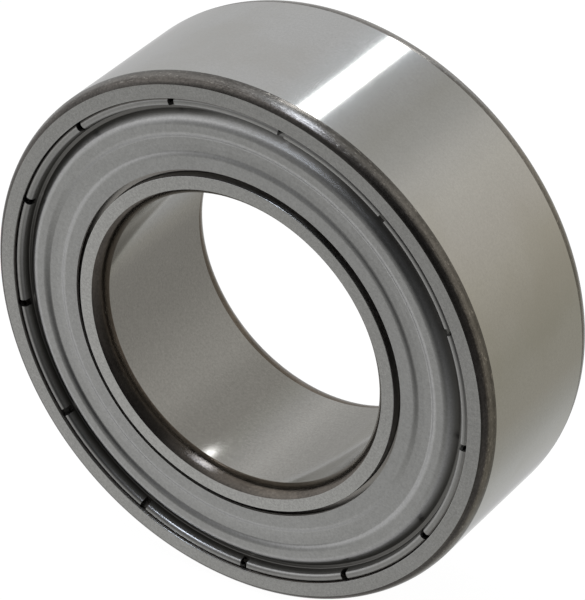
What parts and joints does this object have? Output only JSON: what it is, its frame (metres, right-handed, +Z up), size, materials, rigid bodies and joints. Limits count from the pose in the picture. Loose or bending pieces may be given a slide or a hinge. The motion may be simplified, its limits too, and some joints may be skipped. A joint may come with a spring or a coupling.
{
  "type": "ball bearing",
  "caption": "Double-row angular contact ball bearing with a pressed sheet-metal shield on each side, on a plain cylindrical bore.",
  "frame": {"origin": "centre of the bearing, on its axis and midway between the two side faces", "axes": "+Y along the bearing axis, from the front face to the rear face; +Z up, with the bearing standing on its outer ring; +X completes the right-handed frame"},
  "size_m": [0.09, 0.0302, 0.09],
  "materials": {
    "outer_ring_steel": "ground bearing steel, corners left dark from heat treatment",
    "inner_ring_steel": "ground bearing steel, corners left dark from heat treatment",
    "shield_sheet": "satin pressed sheet steel",
    "ball_steel": "polished bearing steel",
    "cage_polyamide": "moulded polyamide, natural colour"
  },
  "bodies": {
    "outer_ring": {"outer_ring": "outer_ring_steel", "front_shield": "shield_sheet", "rear_shield": "shield_sheet"},
    "inner_ring": {"inner_ring": "inner_ring_steel"},
    "front_cage": {"front_cage": "cage_polyamide"},
    "rear_cage": {"rear_cage": "cage_polyamide"},
    "front_ball_01": {"front_ball_01": "ball_steel"},
    "front_ball_02": {"front_ball_02": "ball_steel"},
    "front_ball_03": {"front_ball_03": "ball_steel"},
    "front_ball_04": {"front_ball_04": "ball_steel"},
    "front_ball_05": {"front_ball_05": "ball_steel"},
    "front_ball_06": {"front_ball_06": "ball_steel"},
    "front_ball_07": {"front_ball_07": "ball_steel"},
    "front_ball_08": {"front_ball_08": "ball_steel"},
    "front_ball_09": {"front_ball_09": "ball_steel"},
    "front_ball_10": {"front_ball_10": "ball_steel"},
    "front_ball_11": {"front_ball_11": "ball_steel"},
    "front_ball_12": {"front_ball_12": "ball_steel"},
    "front_ball_13": {"front_ball_13": "ball_steel"},
    "front_ball_14": {"front_ball_14": "ball_steel"},
    "rear_ball_01": {"rear_ball_01": "ball_steel"},
    "rear_ball_02": {"rear_ball_02": "ball_steel"},
    "rear_ball_03": {"rear_ball_03": "ball_steel"},
    "rear_ball_04": {"rear_ball_04": "ball_steel"},
    "rear_ball_05": {"rear_ball_05": "ball_steel"},
    "rear_ball_06": {"rear_ball_06": "ball_steel"},
    "rear_ball_07": {"rear_ball_07": "ball_steel"},
    "rear_ball_08": {"rear_ball_08": "ball_steel"},
    "rear_ball_09": {"rear_ball_09": "ball_steel"},
    "rear_ball_10": {"rear_ball_10": "ball_steel"},
    "rear_ball_11": {"rear_ball_11": "ball_steel"},
    "rear_ball_12": {"rear_ball_12": "ball_steel"},
    "rear_ball_13": {"rear_ball_13": "ball_steel"},
    "rear_ball_14": {"rear_ball_14": "ball_steel"}
  },
  "joints": [
    {"name": "inner_ring_spin", "type": "hinge", "parent": "outer_ring", "child": "inner_ring", "pos_m": [0, 0, 0], "axis": [0, 1, 0], "continuous": true},
    {"name": "front_cage_spin", "type": "hinge", "parent": "outer_ring", "child": "front_cage", "pos_m": [0, 0, 0], "axis": [0, 1, 0], "continuous": true},
    {"name": "rear_cage_spin", "type": "hinge", "parent": "outer_ring", "child": "rear_cage", "pos_m": [0, 0, 0], "axis": [0, 1, 0], "continuous": true},
    {"name": "front_ball_01_spin", "type": "hinge", "parent": "front_cage", "child": "front_ball_01", "pos_m": [0.03466, -0.0066, 0.00487], "axis": [-0.4951, 0.866, -0.0696], "continuous": true},
    {"name": "front_ball_02_spin", "type": "hinge", "parent": "front_cage", "child": "front_ball_02", "pos_m": [0.02911, -0.0066, 0.01943], "axis": [-0.4159, 0.866, -0.2775], "continuous": true},
    {"name": "front_ball_03_spin", "type": "hinge", "parent": "front_cage", "child": "front_ball_03", "pos_m": [0.0178, -0.0066, 0.03013], "axis": [-0.2543, 0.866, -0.4305], "continuous": true},
    {"name": "front_ball_04_spin", "type": "hinge", "parent": "front_cage", "child": "front_ball_04", "pos_m": [0.00296, -0.0066, 0.03487], "axis": [-0.0423, 0.866, -0.4982], "continuous": true},
    {"name": "front_ball_05_spin", "type": "hinge", "parent": "front_cage", "child": "front_ball_05", "pos_m": [-0.01246, -0.0066, 0.03271], "axis": [0.178, 0.866, -0.4672], "continuous": true},
    {"name": "front_ball_06_spin", "type": "hinge", "parent": "front_cage", "child": "front_ball_06", "pos_m": [-0.02542, -0.0066, 0.02406], "axis": [0.3631, 0.866, -0.3437], "continuous": true},
    {"name": "front_ball_07_spin", "type": "hinge", "parent": "front_cage", "child": "front_ball_07", "pos_m": [-0.03334, -0.0066, 0.01065], "axis": [0.4763, 0.866, -0.1521], "continuous": true},
    {"name": "front_ball_08_spin", "type": "hinge", "parent": "front_cage", "child": "front_ball_08", "pos_m": [-0.03466, -0.0066, -0.00487], "axis": [0.4951, 0.866, 0.0696], "continuous": true},
    {"name": "front_ball_09_spin", "type": "hinge", "parent": "front_cage", "child": "front_ball_09", "pos_m": [-0.02911, -0.0066, -0.01943], "axis": [0.4159, 0.866, 0.2775], "continuous": true},
    {"name": "front_ball_10_spin", "type": "hinge", "parent": "front_cage", "child": "front_ball_10", "pos_m": [-0.0178, -0.0066, -0.03013], "axis": [0.2543, 0.866, 0.4305], "continuous": true},
    {"name": "front_ball_11_spin", "type": "hinge", "parent": "front_cage", "child": "front_ball_11", "pos_m": [-0.00296, -0.0066, -0.03487], "axis": [0.0423, 0.866, 0.4982], "continuous": true},
    {"name": "front_ball_12_spin", "type": "hinge", "parent": "front_cage", "child": "front_ball_12", "pos_m": [0.01246, -0.0066, -0.03271], "axis": [-0.178, 0.866, 0.4672], "continuous": true},
    {"name": "front_ball_13_spin", "type": "hinge", "parent": "front_cage", "child": "front_ball_13", "pos_m": [0.02542, -0.0066, -0.02406], "axis": [-0.3631, 0.866, 0.3437], "continuous": true},
    {"name": "front_ball_14_spin", "type": "hinge", "parent": "front_cage", "child": "front_ball_14", "pos_m": [0.03334, -0.0066, -0.01065], "axis": [-0.4763, 0.866, 0.1521], "continuous": true},
    {"name": "rear_ball_01_spin", "type": "hinge", "parent": "rear_cage", "child": "rear_ball_01", "pos_m": [0.03271, 0.0066, 0.01246], "axis": [0.4672, 0.866, 0.178], "continuous": true},
    {"name": "rear_ball_02_spin", "type": "hinge", "parent": "rear_cage", "child": "rear_ball_02", "pos_m": [0.02406, 0.0066, 0.02542], "axis": [0.3437, 0.866, 0.3631], "continuous": true},
    {"name": "rear_ball_03_spin", "type": "hinge", "parent": "rear_cage", "child": "rear_ball_03", "pos_m": [0.01065, 0.0066, 0.03334], "axis": [0.1521, 0.866, 0.4763], "continuous": true},
    {"name": "rear_ball_04_spin", "type": "hinge", "parent": "rear_cage", "child": "rear_ball_04", "pos_m": [-0.00487, 0.0066, 0.03466], "axis": [-0.0696, 0.866, 0.4951], "continuous": true},
    {"name": "rear_ball_05_spin", "type": "hinge", "parent": "rear_cage", "child": "rear_ball_05", "pos_m": [-0.01943, 0.0066, 0.02911], "axis": [-0.2775, 0.866, 0.4159], "continuous": true},
    {"name": "rear_ball_06_spin", "type": "hinge", "parent": "rear_cage", "child": "rear_ball_06", "pos_m": [-0.03013, 0.0066, 0.0178], "axis": [-0.4305, 0.866, 0.2543], "continuous": true},
    {"name": "rear_ball_07_spin", "type": "hinge", "parent": "rear_cage", "child": "rear_ball_07", "pos_m": [-0.03487, 0.0066, 0.00296], "axis": [-0.4982, 0.866, 0.0423], "continuous": true},
    {"name": "rear_ball_08_spin", "type": "hinge", "parent": "rear_cage", "child": "rear_ball_08", "pos_m": [-0.03271, 0.0066, -0.01246], "axis": [-0.4672, 0.866, -0.178], "continuous": true},
    {"name": "rear_ball_09_spin", "type": "hinge", "parent": "rear_cage", "child": "rear_ball_09", "pos_m": [-0.02406, 0.0066, -0.02542], "axis": [-0.3437, 0.866, -0.3631], "continuous": true},
    {"name": "rear_ball_10_spin", "type": "hinge", "parent": "rear_cage", "child": "rear_ball_10", "pos_m": [-0.01065, 0.0066, -0.03334], "axis": [-0.1521, 0.866, -0.4763], "continuous": true},
    {"name": "rear_ball_11_spin", "type": "hinge", "parent": "rear_cage", "child": "rear_ball_11", "pos_m": [0.00487, 0.0066, -0.03466], "axis": [0.0696, 0.866, -0.4951], "continuous": true},
    {"name": "rear_ball_12_spin", "type": "hinge", "parent": "rear_cage", "child": "rear_ball_12", "pos_m": [0.01943, 0.0066, -0.02911], "axis": [0.2775, 0.866, -0.4159], "continuous": true},
    {"name": "rear_ball_13_spin", "type": "hinge", "parent": "rear_cage", "child": "rear_ball_13", "pos_m": [0.03013, 0.0066, -0.0178], "axis": [0.4305, 0.866, -0.2543], "continuous": true},
    {"name": "rear_ball_14_spin", "type": "hinge", "parent": "rear_cage", "child": "rear_ball_14", "pos_m": [0.03487, 0.0066, -0.00296], "axis": [0.4982, 0.866, -0.0423], "continuous": true}
  ],
  "couplings": [
    {"joint": "front_cage_spin", "follows": "inner_ring_spin", "ratio": 0.43126},
    {"joint": "rear_cage_spin", "follows": "inner_ring_spin", "ratio": 0.43126},
    {"joint": "front_ball_01_spin", "follows": "inner_ring_spin", "ratio": -3.0901},
    {"joint": "front_ball_02_spin", "follows": "inner_ring_spin", "ratio": -3.0901},
    {"joint": "front_ball_03_spin", "follows": "inner_ring_spin", "ratio": -3.0901},
    {"joint": "front_ball_04_spin", "follows": "inner_ring_spin", "ratio": -3.0901},
    {"joint": "front_ball_05_spin", "follows": "inner_ring_spin", "ratio": -3.0901},
    {"joint": "front_ball_06_spin", "follows": "inner_ring_spin", "ratio": -3.0901},
    {"joint": "front_ball_07_spin", "follows": "inner_ring_spin", "ratio": -3.0901},
    {"joint": "front_ball_08_spin", "follows": "inner_ring_spin", "ratio": -3.0901},
    {"joint": "front_ball_09_spin", "follows": "inner_ring_spin", "ratio": -3.0901},
    {"joint": "front_ball_10_spin", "follows": "inner_ring_spin", "ratio": -3.0901},
    {"joint": "front_ball_11_spin", "follows": "inner_ring_spin", "ratio": -3.0901},
    {"joint": "front_ball_12_spin", "follows": "inner_ring_spin", "ratio": -3.0901},
    {"joint": "front_ball_13_spin", "follows": "inner_ring_spin", "ratio": -3.0901},
    {"joint": "front_ball_14_spin", "follows": "inner_ring_spin", "ratio": -3.0901},
    {"joint": "rear_ball_01_spin", "follows": "inner_ring_spin", "ratio": -3.0901},
    {"joint": "rear_ball_02_spin", "follows": "inner_ring_spin", "ratio": -3.0901},
    {"joint": "rear_ball_03_spin", "follows": "inner_ring_spin", "ratio": -3.0901},
    {"joint": "rear_ball_04_spin", "follows": "inner_ring_spin", "ratio": -3.0901},
    {"joint": "rear_ball_05_spin", "follows": "inner_ring_spin", "ratio": -3.0901},
    {"joint": "rear_ball_06_spin", "follows": "inner_ring_spin", "ratio": -3.0901},
    {"joint": "rear_ball_07_spin", "follows": "inner_ring_spin", "ratio": -3.0901},
    {"joint": "rear_ball_08_spin", "follows": "inner_ring_spin", "ratio": -3.0901},
    {"joint": "rear_ball_09_spin", "follows": "inner_ring_spin", "ratio": -3.0901},
    {"joint": "rear_ball_10_spin", "follows": "inner_ring_spin", "ratio": -3.0901},
    {"joint": "rear_ball_11_spin", "follows": "inner_ring_spin", "ratio": -3.0901},
    {"joint": "rear_ball_12_spin", "follows": "inner_ring_spin", "ratio": -3.0901},
    {"joint": "rear_ball_13_spin", "follows": "inner_ring_spin", "ratio": -3.0901},
    {"joint": "rear_ball_14_spin", "follows": "inner_ring_spin", "ratio": -3.0901}
  ]
}
